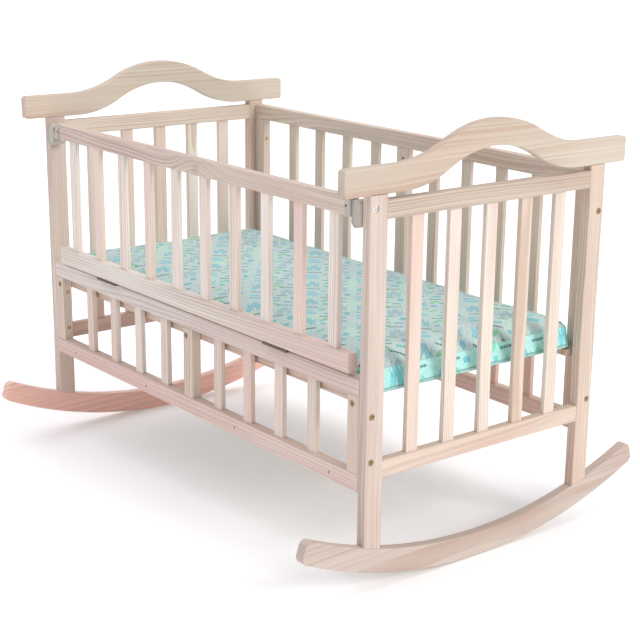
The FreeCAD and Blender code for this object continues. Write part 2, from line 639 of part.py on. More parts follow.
def latch_cap(end, sign):
    """L-shaped moulding on the end of the gate's top rail: a leg on the face and a thick end wall."""
    body = doc.addObject("PartDesign::Body", f"{end}_cap_blank")
    outer, inner = f"{sign} * (dims.gate_half + dims.cap_end)", f"{sign} * dims.gate_half"
    root = f"{sign} * (dims.gate_half + dims.cap_end - dims.cap_leg)"
    face, front, back = Y_GATE, f"{Y_GATE} - dims.cap_wall", f"{Y_GATE} + dims.gate_thick - dims.cap_wall"
    corners = ((root, front), (outer, front), (outer, back), (inner, back), (inner, face), (root, face))
    shell = pad(body, outline(body, "XY_Plane", corners), "dims.cap_tall")
    limit = value("dims.gate_half + dims.cap_end") - 1
    outside = [name for name in edges_along(shell.Shape, AXES["z"])
               if abs(shell.Shape.getElement(name).Vertexes[0].Point.x) > limit]
    soften(body, shell, outside, "dims.cap_wall")
    return place(body, "dims.gate_shift", "0", "dims.gate_top_low - dims.cap_drop")


def slide_bolt(end, sign):
    """Round bolt along X with a thumb stem that points to the inside of the cradle."""
    y = f"(-{Y_OUT} + dims.slide_in)"
    tip = f"{sign} * ({X_IN} - {KEEPER_WIDE[end]} - {SLEEVE_LONG[end]} + dims.slide_back)"
    long = f"(dims.slide_long + {SLEEVE_LONG[end]})"
    first = tip if sign > 0 else f"{tip} - {long}"
    barrel = rod(f"{end}_slide_barrel", "x", "dims.slide_radius", long, first, y, "dims.slide_level")
    stem = rod(f"{end}_slide_stem", "y", "dims.thumb_radius",
               "(dims.keeper_deep - dims.keeper_proud - dims.slide_in + dims.thumb_proud)",
               f"{sign} * ({X_IN} - {KEEPER_WIDE[end]} + dims.thumb_along)", y, "dims.slide_level")
    keep(fuse(f"{end}_slide_bolt", [barrel, stem]), f"{end}_slide_bolt")


def keeper(end, sign, holes):
    """Round-ended moulding on the post beside the gate's end; the slide bolt runs through it."""
    wide, sleeve_long = KEEPER_WIDE[end], SLEEVE_LONG[end]
    half, foot = f"{wide} / 2", "dims.keeper_low"
    top = "(dims.keeper_low + dims.keeper_tall)"
    middle = f"({sign} * ({X_IN} - {half}))"
    left, right = f"{middle} - {half}", f"{middle} + {half}"
    shoulder = (f"{foot} + {half}", f"{top} - {half}")

    def capsule(name, inset, deep):
        shape = doc.addObject("PartDesign::Body", name)
        low, high = f"{foot} + {inset}", f"{top} - {inset}"
        corners = ((f"{left} + {inset}", shoulder[0]), (middle, low), (f"{right} - {inset}", shoulder[0]),
                   (f"{right} - {inset}", shoulder[1]), (middle, high), (f"{left} + {inset}", shoulder[1]))
        round_radius = f"({half} - {inset})"
        arcs = {0: (round_radius, 1), 1: (round_radius, 1), 3: (round_radius, 1), 4: (round_radius, 1)}
        pad(shape, outline(shape, "XZ_Plane", corners, arcs), deep, reverse=True)
        return place(shape, "0", f"-{Y_OUT} - dims.keeper_proud", "0")

    shell = capsule(f"{end}_keeper_shell", "0", "dims.keeper_deep")
    recess = capsule(f"{end}_keeper_recess", "dims.keeper_rim", "dims.keeper_recess")
    play = "dims.slide_play"
    if sleeve_long != "0":
        sleeve = rod(f"{end}_keeper_sleeve", "x", "dims.sleeve_radius", f"({half} + {sleeve_long})", middle,
                     f"-{Y_OUT} + dims.slide_in", "dims.slide_level")
        shell = fuse(f"{end}_keeper_whole", [shell, sleeve])
    tunnel = rod(f"{end}_keeper_tunnel", "x", f"(dims.slide_radius + {play})",
                 f"({wide} + {sleeve_long} + 2)", f"{left} - 1", f"-{Y_OUT} + dims.slide_in",
                 "dims.slide_level")
    slot_long = f"(dims.slide_travel + 2 * (dims.thumb_radius + {play}))"
    outer = f"{sign} * ({X_IN} - {wide} + dims.thumb_along + dims.thumb_radius + {play})"
    slot_x = f"{outer} - {slot_long}" if sign > 0 else outer
    slot = block(f"{end}_keeper_slot", (slot_long, "dims.keeper_deep", f"2 * (dims.thumb_radius + {play})"),
                 (slot_x, f"-{Y_OUT} + dims.slide_in", f"dims.slide_level - dims.thumb_radius - {play}"))
    return keep(cut_all(f"{end}_latch_keeper", shell, [recess, tunnel, slot] + holes), f"{end}_latch_keeper")


def latches():
    """Keepers on the front posts, each with a slide bolt and the bolt that holds it to the post."""
    bolts, sinks = [], []
    for end, sign in ENDS:
        seat = (f"{sign} * ({X_OUT} - dims.head_sunk)", f"-{Y_BOLT}", str(KEEPER_BOLT_LEVEL))
        length = f"(dims.post_thick - dims.head_sunk + {KEEPER_WIDE[end]} - 2 * dims.bolt_short)"
        bolts.append(screw(f"keeper_bolt_{end}", "x", "dims.bolt_radius", "dims.head_radius", length,
                           "dims.head_thick", seat, -sign))
        sinks.append(sink(f"keeper_sink_{end}", "x", R_SINK, "dims.head_sunk",
                          (f"{sign} * {X_OUT}", f"-{Y_BOLT}", str(KEEPER_BOLT_LEVEL)), -sign))
    bolt_set = fastener_set("keeper_bolts", bolts)
    for end, sign in ENDS:
        keeper(end, sign, [bolt_set])
        slide_bolt(end, sign)
    return bolt_set, group("keeper_bolt_sinks", sinks)


def gate(hinge_screws):
    """Fold-down upper side: a round-topped top rail, a bottom rail and the slats between them."""
    places = [f"({number - (GATE_SLATS - 1) / 2}) * dims.gate_slat_pitch + dims.gate_slat_shift"
              for number in range(GATE_SLATS)]
    low = "(dims.gate_low + dims.gate_bottom_deep)"
    slats = slats_between("gate_slats", False, places, low, "dims.gate_top_low",
                          f"{Y_GATE} + (dims.gate_thick - dims.slat_thick) / 2")
    bottom = bar("gate_bottom_blank", "x",
                 ("2 * (dims.gate_half + dims.cap_end)", "dims.gate_thick", "dims.gate_bottom_deep"),
                 ("dims.gate_shift - dims.gate_half - dims.cap_end", Y_GATE, "dims.gate_low"))
    keep(cut_all("gate_bottom_rail", bottom, [slats, hinge_screws]), "gate_bottom_rail")

    caps, screws, pockets = {}, [], []
    for end, sign in ENDS:
        caps[end] = latch_cap(end, sign)
        seat = (f"dims.gate_shift + {sign} * (dims.gate_half - dims.cap_screw_in)",
                f"{Y_GATE} - dims.cap_wall",
                "dims.gate_top_low + dims.cap_screw_up")
        screws.append(screw(f"cap_screw_{end}", "y", "dims.cap_screw", "dims.cap_head", "dims.cap_screw_long",
                            "dims.cap_head_thick", seat, 1))
        start = f"dims.gate_shift + {sign} * (dims.gate_half + dims.cap_end)"
        start += " - dims.pocket_deep" if sign > 0 else ""
        pockets.append(rod(f"{end}_latch_pocket", "x", "(dims.slide_radius + dims.slide_play)",
                           "dims.pocket_deep", start, f"-{Y_OUT} + dims.slide_in", "dims.slide_level"))
    screw_set = fastener_set("cap_screws", screws)
    pocket_set = group("latch_pockets", pockets)
    for end, _sign in ENDS:
        keep(cut_all(f"{end}_latch_cap", caps[end], [screw_set, pocket_set]), f"{end}_latch_cap")

    body = doc.addObject("PartDesign::Body", "gate_top_blank")
    sizes = (("0", "0"), ("dims.gate_thick", "0"), ("dims.gate_thick", "dims.gate_top_deep"),
             ("0", "dims.gate_top_deep"))
    rail = pad(body, outline(body, "YZ_Plane", sizes), "2 * dims.gate_half")
    along = edges_along(rail.Shape, AXES["x"])
    upper = [name for name in along
             if rail.Shape.getElement(name).Vertexes[0].Point.z > value("dims.gate_top_deep") - 1]
    rounded = soften(body, rail, upper, "dims.gate_rail_round")
    lower = [name for name in edges_along(rounded.Shape, AXES["x"])
             if rounded.Shape.getElement(name).Vertexes[0].Point.z < 1]
    soften(body, rounded, lower, "dims.edge_round")
    place(body, "dims.gate_shift - dims.gate_half", Y_GATE, "dims.gate_top_low")
    keep(cut_all("gate_top_rail", body, [slats, screw_set, pocket_set]), "gate_top_rail")


# ---------------------------------------------------------------- build, check and write

def build():
    holes = {}
    holes["panel_bolts"], holes["panel_nuts"], holes["panel_sinks"] = panel_fasteners()
    holes["bed_bolts"], holes["bed_nuts"], holes["bed_sinks"] = bed_fasteners()
    holes["rocker_screws"], holes["rocker_sinks"] = rocker_fasteners()
    holes["rail_dowels"], holes["crest_dowels"] = end_dowels()
    holes["stile_dowels"] = stile_dowels()
    holes["bottom_screws"] = rail_screws()
    hinge_screws = hinges()
    holes["hinge_leaves"] = hinge_screws["frame"]
    holes["keeper_bolts"], holes["keeper_sinks"] = latches()
    for end, sign in ENDS:
        end_frame(end, sign, holes)
    side_panel("lower", -1, "dims.lower_top_low", "dims.lower_top_deep", holes)
    side_panel("back", 1, "dims.top_rail_low", "dims.top_rail_deep", holes)
    bed(holes)
    gate(hinge_screws["gate"])
    mattress()
    doc.recompute()


def check():
    for item in doc.Objects:
        if "Invalid" in item.State or "Error" in item.State:
            raise RuntimeError(f"{item.Label} did not build: {item.State}")
    for item in parts:
        if item.Shape.isNull() or not item.Shape.isValid() or not item.Shape.Solids:
            raise RuntimeError(f"{item.Label} is not a valid solid")


def write():
    os.makedirs("parts", exist_ok=True)
    for item in parts:
        item.Shape.exportStep(f"parts/{item.Label}.step")
        box = item.Shape.BoundBox
        print(f"{item.Label}: {len(item.Shape.Solids)} solids, {box.XLength:.1f} x {box.YLength:.1f}"
              f" x {box.ZLength:.1f} mm")
    print(len(parts), "sub-parts")


build()
check()
write()
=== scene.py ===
import math

import bmesh
import bpy
from mathutils import Matrix, Vector, bvhtree, noise


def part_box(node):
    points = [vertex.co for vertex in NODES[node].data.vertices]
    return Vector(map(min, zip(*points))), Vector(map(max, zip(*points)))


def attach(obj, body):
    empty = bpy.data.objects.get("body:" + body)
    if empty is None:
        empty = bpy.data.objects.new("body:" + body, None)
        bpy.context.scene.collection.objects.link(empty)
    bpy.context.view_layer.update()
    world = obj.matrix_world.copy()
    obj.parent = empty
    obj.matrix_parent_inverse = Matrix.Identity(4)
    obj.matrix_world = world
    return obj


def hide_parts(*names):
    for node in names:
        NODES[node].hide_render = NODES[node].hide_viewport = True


# Looks of the baby cradle: pale planed pine, small fittings and a printed cotton mattress.
# Metres. +X to the foot end, +Y to the back, +Z up; the gate is on the -Y side.

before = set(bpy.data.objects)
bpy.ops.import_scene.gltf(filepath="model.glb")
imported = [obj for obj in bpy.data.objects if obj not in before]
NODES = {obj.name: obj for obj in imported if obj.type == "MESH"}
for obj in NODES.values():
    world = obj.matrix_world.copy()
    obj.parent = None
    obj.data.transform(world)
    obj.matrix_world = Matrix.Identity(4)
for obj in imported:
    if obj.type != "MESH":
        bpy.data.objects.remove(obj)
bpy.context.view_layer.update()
MM = 0.001


# ---------------------------------------------------------------- shader arithmetic

# the Mix node's sockets for colours, by their place in its list
MIX_FACTOR = 0
MIX_FIRST = 6
MIX_SECOND = 7
MIX_COLOUR = 2


class Field:
    """A number that varies over a surface. Arithmetic on it adds Math nodes to its material."""

    def __init__(self, graph, socket):
        self.graph = graph
        self.socket = socket

    def __add__(self, other):
        return self.graph.calc("ADD", self, other)

    def __sub__(self, other):
        return self.graph.calc("SUBTRACT", self, other)

    def __rsub__(self, other):
        return self.graph.calc("SUBTRACT", other, self)

    def __mul__(self, other):
        return self.graph.calc("MULTIPLY", self, other)

    def __rmul__(self, other):
        return self.graph.calc("MULTIPLY", self, other)

    def __truediv__(self, other):
        return self.graph.calc("DIVIDE", self, other)

    def __abs__(self):
        return self.graph.calc("ABSOLUTE", self)

    def power(self, exponent):
        return self.graph.calc("POWER", self, exponent)

    def root(self):
        return self.graph.calc("SQRT", self)

    def exponential(self):
        return self.graph.calc("EXPONENT", self)

    def sine(self):
        return self.graph.calc("SINE", self)

    def floor(self):
        return self.graph.calc("FLOOR", self)

    def fraction(self):
        return self.graph.calc("FRACT", self)

    def least(self, other):
        return self.graph.calc("MINIMUM", self, other)

    def most(self, other):
        return self.graph.calc("MAXIMUM", self, other)

    def ramp(self, low, high, start=0.0, end=1.0):
        """Smooth step from start to end as the number goes from low to high."""
        node = self.graph.add("ShaderNodeMapRange", interpolation_type="SMOOTHSTEP")
        for index, given in enumerate((self, low, high, start, end)):
            self.graph.put(node.inputs[index], given)
        return Field(self.graph, node.outputs[0])


class Graph:
    """One material under construction."""

    def __init__(self, name):
        self.material = bpy.data.materials.new(name)
        self.material.use_nodes = True
        self.tree = self.material.node_tree
        self.shader = self.tree.nodes["Principled BSDF"]

    def add(self, kind, **settings):
        node = self.tree.nodes.new(kind)
        for key, setting in settings.items():
            setattr(node, key, setting)
        return node

    def put(self, socket, given):
        if isinstance(given, Field):
            given = given.socket
        if isinstance(given, bpy.types.NodeSocket):
            self.tree.links.new(given, socket)
        else:
            socket.default_value = given

    def calc(self, operation, *terms):
        node = self.add("ShaderNodeMath", operation=operation)
        for index, term in enumerate(terms):
            self.put(node.inputs[index], term)
        return Field(self, node.outputs[0])

    def split(self, vector):
        """The x, y and z of a vector or the red, green and blue of a colour, as three fields."""
        node = self.add("ShaderNodeSeparateXYZ")
        self.put(node.inputs[0], vector)
        return [Field(self, output) for output in node.outputs]

    def place(self):
        """The position in metres, in the shared frame with the object at rest."""
        return self.split(self.add("ShaderNodeTexCoord").outputs["Object"])

    def facing(self):
        """The direction the surface faces."""
        return self.split(self.add("ShaderNodeTexCoord").outputs["Normal"])

    def join(self, x, y, z):
        node = self.add("ShaderNodeCombineXYZ")
        for socket, given in zip(node.inputs, (x, y, z)):
            self.put(socket, given)
        return node.outputs[0]

    def noise(self, vector, scale=1.0, detail=2.0, roughness=0.5):
        node = self.add("ShaderNodeTexNoise")
        settings = {"Vector": vector, "Scale": scale, "Detail": detail, "Roughness": roughness}
        for key, given in settings.items():
            self.put(node.inputs[key], given)
        return Field(self, node.outputs["Fac"])

    def random(self, *numbers):
        """Three random numbers, 0 to 1, the same wherever the given numbers are the same."""
        node = self.add("ShaderNodeTexWhiteNoise", noise_dimensions="3D")
        self.put(node.inputs["Vector"], self.join(*numbers))
        return self.split(node.outputs["Color"])

    def mix(self, amount, first, second, blend="MIX"):
        """The second colour over the first by an amount, or blended with it in another way."""
        node = self.add("ShaderNodeMix", data_type="RGBA", blend_type=blend)
        for socket, given in ((MIX_FACTOR, amount), (MIX_FIRST, first), (MIX_SECOND, second)):
            if isinstance(given, tuple) and len(given) == 3:
                given = (*given, 1.0)
            self.put(node.inputs[socket], given)
        return node.outputs[MIX_COLOUR]

    def bump(self, height, distance, strength):
        node = self.add("ShaderNodeBump")
        for key, given in (("Height", height), ("Distance", distance), ("Strength", strength)):
            self.put(node.inputs[key], given)
        self.put(self.shader.inputs["Normal"], node.outputs[0])

    def finish(self, colour, **sockets):
        """Set the shader's colour and its other sockets, and hand over the material."""
        self.put(self.shader.inputs["Base Color"], colour)
        for key, given in sockets.items():
            self.put(self.shader.inputs[key.replace("_", " ")], given)
        return self.material


# ---------------------------------------------------------------- pine

# wood colours
EARLY = (0.640, 0.525, 0.430)
LATE = (0.430, 0.300, 0.235)
WARM_LATE = (0.540, 0.345, 0.250)
ROSY = (0.660, 0.455, 0.365)
CREAM = (0.735, 0.635, 0.520)
PALE = (0.800, 0.735, 0.660)
AMBER = (0.500, 0.290, 0.150)
# pink of the painted shade on the low wood under the mattress and near the floor
PINK_SHADE = (0.740, 0.420, 0.370)
STAIN = (0.330, 0.270, 0.280)
KNOT_HEART = (0.300, 0.165, 0.105)

# painted pink shade on the low wood, under the mattress and near the floor: its amount, the height in metres
# where it is full and the height where it ends;
# the last constant below is the share of the painted shade on faces that look out of the cradle
BELOW_BED = (0.62, 0.24, 0.36)
NEAR_FLOOR = (0.85, 0.06, 0.19)
OUTER_SHADE_SHARE = 0.30

# tones of the planks
WHITE_SLAT = (1.24, 1.34, 1.46)
PALE_SLAT = (1.12, 1.18, 1.24)
COOL_RAIL = (1.02, 1.08, 1.20)
PALE_RAIL = (1.09, 1.19, 1.30)
DULL_RAIL = (0.82, 0.82, 0.81)
PINK_RAIL = (1.06, 1.02, 1.08)
COOL_POST = (0.96, 0.97, 1.02)
WARM_CREST = (0.87, 0.92, 0.92)
DULL_ROCKER = (0.81, 0.81, 0.86)
# painted light: the head rocker made lighter, for the light that falls on it from behind
PAINTED_LIGHT_ROCKER = (1.24, 1.20, 1.18)

# rows of slats: their axis, their pitch in metres, and the shift that puts each slat inside one cell
END_ROW = ("y", 0.082, 0.5)
SIDE_ROW = ("x", 0.093, 0.5)
GATE_ROW = ("x", 0.093, -0.1505)
BED_ROW = ("x", 0.120, 0.0)

# depth of the grain's bump in metres, and how dull the planed wood is
PLANED_BUMP = 0.00012
PINE_ROUGHNESS = 0.58


def swerve_round(knots, centre, across, up, run, radius):
    """The ring radius bent outward at each knot, and how dark a knot's heart makes it (None without knots).

    A knot's reach is drawn out along the grain and a little upward.
    """
    heart = None
    for k_across, k_up, k_along, size, dark in knots:
        away_across = across - (k_across - centre[0])
        away_up = (up - (k_up - centre[1])) * 0.6
        away_along = (run - k_along) * 0.42
        distance = (away_across * away_across + away_up * away_up + away_along * away_along).root()
        nearness = ((distance / (size * 2.6)).power(2.0) * -1.0).exponential()
        radius = radius + nearness * (size * 1.5)
        spot = distance.ramp(size * 0.30, size * 0.62, dark, 0.0)
        heart = spot if heart is None else heart.most(spot)
    return radius, heart


def pine(name, along, centre, pith, spacing, rows=None, knots=(), amber=0.0, late_colour=LATE,
         contrast=0.82, blush=None, tone=None):
    """Planed pine. Growth rings run round a pith line that lies beside the piece and leans along it.

    along is the grain's axis, centre the middle of the section, pith its distance from there across and up,
    and spacing the width of a year's ring in millimetres.
    rows = (axis, pitch, shift) gives each slat of a row its own place in the tree.
    knots are (across, up, along, size, heart): the rings swerve round each one, and heart is how dark it is.
    contrast is how strongly the late wood shows.
    A painted pink shade, given as (amount, low, high), reddens the piece below the height high, fully at the
    height low, and most on the faces that look into the cradle from the back or the head end, where the shade
    falls.
    tone is a colour that the wood is multiplied by, for a lighter or darker plank; on the head rocker it is
    painted light.
    """
    graph = Graph(name)
    position = dict(zip("xyz", graph.place()))
    first, second = [axis for axis in "xyz" if axis != along]
    across = position[first] - centre[0]
    up = position[second] - centre[1]
    run = position[along]
    seed = sum(ord(letter) * (index + 1) for index, letter in enumerate(name)) % 97
    if rows:
        axis, pitch, shift = rows
        cell = (position[axis] / pitch + shift).floor()
        if axis == first:
            across = position[axis] - (cell - shift + 0.5) * pitch
        one, two, three = graph.random(cell, seed * 0.37, 1.7)
    else:
        one, two, three = graph.random(seed * 0.91, 3.1, 0.4)
    length_way = run + three * 7.0 + seed * 0.61

    def streaks(cross, lengthwise, detail=2.0, roughness=0.5, start=0.0):
        """Noise drawn out along the grain, with so many waves a metre across it and along it."""
        point = graph.join(across * cross, up * cross, length_way * lengthwise + start)
        return graph.noise(point, 1.0, detail, roughness)

    # the tree is not straight: its rings wander slowly along the piece
    slow = streaks(7, 1.4, roughness=0.45)
    fast = streaks(45, 5)
    wander = (slow - 0.5) * 0.034 + (fast - 0.5) * 0.0030
    lean = (two - 0.5) * 0.05
    side = across - pith[0] * (one * 0.9 + 0.6) - lean * run
    rise = up - pith[1] * (two * 0.9 + 0.6)
    radius = (side * side + rise * rise).root() + wander
    radius, heart = swerve_round(knots, centre, across, up, run, radius)

    # good and bad years: the rings are neither evenly wide nor evenly dark
    years = graph.noise(graph.join(radius * 95, seed, one * 9), 1.0, 2.0, 0.6)
    rings = radius / (spacing * MM) + years * 2.6
    phase = rings.fraction()
    year = graph.noise(graph.join(rings.floor() * 1.37, seed, 0.0), 1.0, 0.0)

    # late wood darkens slowly through the year and ends sharply; the streaks lie on top of it
    late = phase.ramp(0.15, 0.88) * phase.ramp(0.90, 1.0, 1.0, 0.0)
    late = late * (year * 1.5 + 0.05) * streaks(16, 2.4).ramp(0.28, 0.66, 0.25, 1.0)
    fibre = streaks(900, 14, 3.0, 0.6)
    ducts = streaks(1900, 60, 0.0).ramp(0.70, 0.80)
    cloud = streaks(13, 2.0, 3.0, 0.55)
    flush = streaks(5, 1.1, start=31.0)

    colour = graph.mix(cloud.ramp(0.32, 0.68), EARLY, CREAM)
    colour = graph.mix(flush.ramp(0.46, 0.66, 0.0, 0.80), colour, ROSY)
    # painted pink shade: pinker low down, under the mattress and near the floor, most on faces that look into
    # the cradle
    if blush:
        amount, low, high = blush
        face_x, face_y, _ = graph.facing()
        inward = face_x.most(face_y * -1.0).ramp(0.10, 0.50, OUTER_SHADE_SHARE, 1.0)
        colour = graph.mix(position["z"].ramp(low, high, amount, 0.0) * inward, colour, PINK_SHADE)
    colour = graph.mix((late * contrast).least(0.75), colour, late_colour)
    colour = graph.mix(fibre.ramp(0.40, 0.80, 0.0, 0.22), colour, late_colour)
    colour = graph.mix(ducts * 0.20, colour, AMBER)
    shade = (one - 0.4) * 0.16
    colour = graph.mix(shade.most(0.0), colour, PALE)
    colour = graph.mix((shade * -1.0).most(0.0), colour, ROSY)
    if rows:
        golden = three.ramp(0.80, 0.84, 0.0, 0.30) * cloud.ramp(0.3, 0.6)
        colour = graph.mix(golden, colour, AMBER)
    if amber:
        colour = graph.mix(amber, colour, AMBER)
    if tone:
        colour = graph.mix(1.0, colour, tone, blend="MULTIPLY")
    if heart is not None:
        colour = graph.mix(heart, colour, KNOT_HEART)
    graph.bump(late * 0.5 + fibre * 0.6, PLANED_BUMP, 0.7)
    return graph.finish(colour, Roughness=PINE_ROUGHNESS - late * 0.08 + (fibre - 0.5) * 0.12,
                        Specular_IOR_Level=0.3)


def middle(node, along):
    """The middle of a node's box, without the coordinate along the grain."""
    low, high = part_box(node)
    centre = (low + high) / 2
    return tuple(centre["xyz".index(axis)] for axis in "xyz" if axis != along)


def dress(node, material):
    """Make a material the CAD node's only one."""
    mesh = NODES[node].data
    mesh.materials.clear()
    mesh.materials.append(material)
    for polygon in mesh.polygons:
        polygon.material_index = 0


def timber(node, along, pith, **details):
    """Make a CAD node pine. Its material's name sets where in the tree it comes from."""
    dress(node, pine("pine_" + node, along, middle(node, along), pith, **details))


def dress_ends():
    """Both ends: rails, posts, slats, crest and rocker. The head end's low parts have painted pink shade, and
    its rocker painted light.
    """
    crest = {"spacing": 8.5, "contrast": 0.95, "late_colour": WARM_LATE, "tone": WARM_CREST}
    rocker = {"spacing": 8.0, "contrast": 0.90, "late_colour": WARM_LATE}
    for end, rail_tone, rocker_tone, rocker_blush, blush in (
            # the head rocker's tone is painted light
            ("head", None, PAINTED_LIGHT_ROCKER, NEAR_FLOOR, BELOW_BED),
            ("foot", DULL_RAIL, DULL_ROCKER, None, None)):
        timber(f"{end}_crest_rail", "y", (0.05, -0.075), **crest)
        timber(f"{end}_rocker", "y", (0.07, -0.055), **rocker, tone=rocker_tone, blush=rocker_blush)
        timber(f"{end}_top_rail", "y", (0.03, 0.10), spacing=4.6, tone=rail_tone)
        timber(f"{end}_bottom_rail", "y", (0.08, -0.04), spacing=4.6, blush=blush)
        timber(f"{end}_front_post", "z", (0.06, 0.07), spacing=4.2, tone=COOL_POST)
        timber(f"{end}_rear_post", "z", (-0.07, 0.05), spacing=4.4, blush=blush)
        timber(f"{end}_slats", "z", (0.045, 0.06), spacing=4.0, rows=END_ROW, blush=blush, tone=PALE_SLAT)


def dress_sides():
    """The lower front side and the back panel."""
    # the back panel's low parts get painted pink shade, under the mattress
    for side, top_tone, bottom_tone, slat_tone, blush in (
            ("lower", COOL_RAIL, PINK_RAIL, PALE_SLAT, None),
            ("back", None, None, None, BELOW_BED)):
        timber(f"{side}_top_rail", "x", (0.06, -0.05), spacing=4.6, tone=top_tone)
        timber(f"{side}_bottom_rail", "x", (0.05, 0.07), spacing=5.0, blush=blush, tone=bottom_tone)
        timber(f"{side}_slats", "z", (0.05, 0.05), spacing=4.0, rows=SIDE_ROW, blush=blush, tone=slat_tone)
        for spot in ("head", "middle", "foot"):
            timber(f"{side}_{spot}_stile", "z", (0.05, 0.08), spacing=4.4, blush=blush)


def dress_gate_and_bed():
    low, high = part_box("gate_top_rail")
    knot = (low.y, (low.z + high.z) / 2 - 0.003, 0.045, 0.010, 0.25)
    timber("gate_top_rail", "x", (0.09, 0.05), spacing=4.6, late_colour=STAIN, contrast=0.95, knots=(knot,))
    timber("gate_bottom_rail", "x", (0.07, 0.06), spacing=4.6, tone=PALE_RAIL)
    timber("gate_slats", "z", (0.05, 0.045), spacing=4.0, rows=GATE_ROW, tone=WHITE_SLAT)
    # the bed's rails and slats get painted pink shade, under the mattress
    timber("bed_front_rail", "x", (0.07, 0.05), spacing=4.6, blush=BELOW_BED)
    timber("bed_rear_rail", "x", (0.05, 0.07), spacing=4.6, blush=BELOW_BED)
    timber("bed_slats", "y", (0.05, -0.06), spacing=5.0, rows=BED_ROW, blush=BELOW_BED)
    for pegs, along in (("end_rail_dowels", "y"), ("crest_dowels", "z"), ("stile_dowels", "z")):
        timber(pegs, along, (0.03, 0.05), spacing=3.0, amber=0.10)


# ---------------------------------------------------------------- fittings

def metal(name, bright, dull, roughness, metallic=1.0):
    """Plated or painted steel with handling marks and a fine grain."""
    graph = Graph(name)
    x, y, z = graph.place()
    smear = graph.noise(graph.join(x, y, z), 260.0, 4.0, 0.6)
    grain = graph.noise(graph.join(x * 900, y * 900, z * 900), 1.0, 2.0)
    colour = graph.mix(smear.ramp(0.35, 0.7), bright, dull)
    graph.bump(grain, 0.00004, 0.5)
    return graph.finish(colour, Metallic=metallic, Roughness=smear * 0.18 + (roughness - 0.09))


def moulded(name, base, worn):
    """Matt moulded plastic with a fine spark-eroded skin."""
    graph = Graph(name)
    x, y, z = graph.place()
    skin = graph.noise(graph.join(x, y, z), 2400.0, 2.0, 0.6)
    flow = graph.noise(graph.join(x, y, z * 0.4), 60.0, 3.0, 0.5)
    colour = graph.mix(flow.ramp(0.3, 0.7, 0.0, 0.6), base, worn)
    graph.bump(skin, 0.00006, 0.6)
    return graph.finish(colour, Roughness=skin * 0.16 + 0.42, Specular_IOR_Level=0.4)


def dress_fittings():
    finishes = {
        metal("yellow_zinc", (0.50, 0.38, 0.20), (0.30, 0.22, 0.12), 0.42):
            ("panel_bolts", "panel_nuts", "bed_bolts", "bed_nuts", "rocker_screws", "bottom_rail_screws"),
        metal("bright_plate", (0.82, 0.82, 0.80), (0.60, 0.60, 0.58), 0.20):
            ("keeper_bolts", "hinge_pins", "head_slide_bolt", "foot_slide_bolt"),
        metal("dark_steel", (0.13, 0.115, 0.10), (0.22, 0.19, 0.15), 0.45, 0.7):
            ("head_frame_leaf", "foot_frame_leaf", "head_gate_leaf", "foot_gate_leaf",
             "frame_hinge_screws", "gate_hinge_screws", "cap_screws"),
        moulded("latch_plastic", (0.455, 0.415, 0.365), (0.53, 0.485, 0.425)):
            ("head_latch_keeper", "foot_latch_keeper", "head_latch_cap", "foot_latch_cap"),
    }
    for material, nodes in finishes.items():
        for node in nodes:
            dress(node, material)


# ---------------------------------------------------------------- mattress

MINT = (0.430, 0.570, 0.525)
AQUA = (0.475, 0.605, 0.590)
HAZE = (0.250, 0.340, 0.350)
FLECK = (0.720, 0.800, 0.780)
GLOW = (0.470, 0.720, 0.520)
TEAL = (0.070, 0.360, 0.450)
TURQUOISE = (0.080, 0.470, 0.580)
INK = (0.015, 0.080, 0.100)
LEAF = (0.120, 0.480, 0.250)
# colour of the painted highlight on the weave's raised threads
SHINE = (0.80, 0.90, 0.88)
# painted light: the print on the pad's sides is multiplied lighter and bluer-green, to lift the shade the
# slats cast there
SIDE_PAINTED_LIGHT = (0.96, 1.38, 1.36)

# one tile of the print, in millimetres; every second column is shifted by COLUMN_SHIFT of a tile,
# and UNEVEN is how far the marks wander from their true outline
TILE_WIDE = 100.0
TILE_TALL = 132.0
COLUMN_SHIFT = 0.23
UNEVEN = 3.4

# the print's turn on the top in degrees, its shift on the sides and the thread spacing in millimetres
PRINT_TURN = 50.5
SIDE_LIFT = -1.0
WEAVE = 1.1

# marks in the tile: bars have a centre and half size, ovals a centre, radii and a turn in degrees
STRIPES = (((20.0, 16.0), (13.0, 6.0)), ((16.0, 34.0), (11.0, 5.0)))
SHORT_BARS = (((80.0, 122.0), (8.0, 5.0)), ((56.0, 14.0), (8.0, 5.0)), ((48.0, 80.0), (5.0, 6.0)))
SHORT_OVAL = ((88.0, 18.0), (6.0, 11.0), 0.0)
DASHES = (((22.0, 58.0), (15.0, 2.6)), ((74.0, 98.0), (14.0, 2.4)), ((52.0, 128.0), (13.0, 2.4)),
          ((66.0, 34.0), (10.0, 2.2)))
LEAVES = (((48.0, 106.0), (14.0, 4.4), 62.0), ((60.0, 103.0), (12.0, 4.2), 118.0),
          ((44.0, 44.0), (10.0, 4.2), 35.0))


def union(marks):
    """Where any of the marks is."""
    whole, *others = marks
    for mark in others:
        whole = whole.most(mark)
    return whole


def bar_mark(u, v, place, half, soft=0.5):
    """Rectangle in the tile; place and half are its centre and half size, soft the blur of its edge."""
    edge = (abs(u - place[0]) - half[0]).most(abs(v - place[1]) - half[1])
    return edge.ramp(-soft, soft, 1.0, 0.0)


def oval_mark(u, v, place, radii, turn):
    """Ellipse in the tile, turned by an angle in degrees."""
    cosine, sine = math.cos(math.radians(turn)), math.sin(math.radians(turn))
    across = ((u - place[0]) * cosine + (v - place[1]) * sine) / radii[0]
    upward = ((v - place[1]) * cosine - (u - place[0]) * sine) / radii[1]
    return (across * across + upward * upward).root().ramp(0.88, 1.08, 1.0, 0.0)


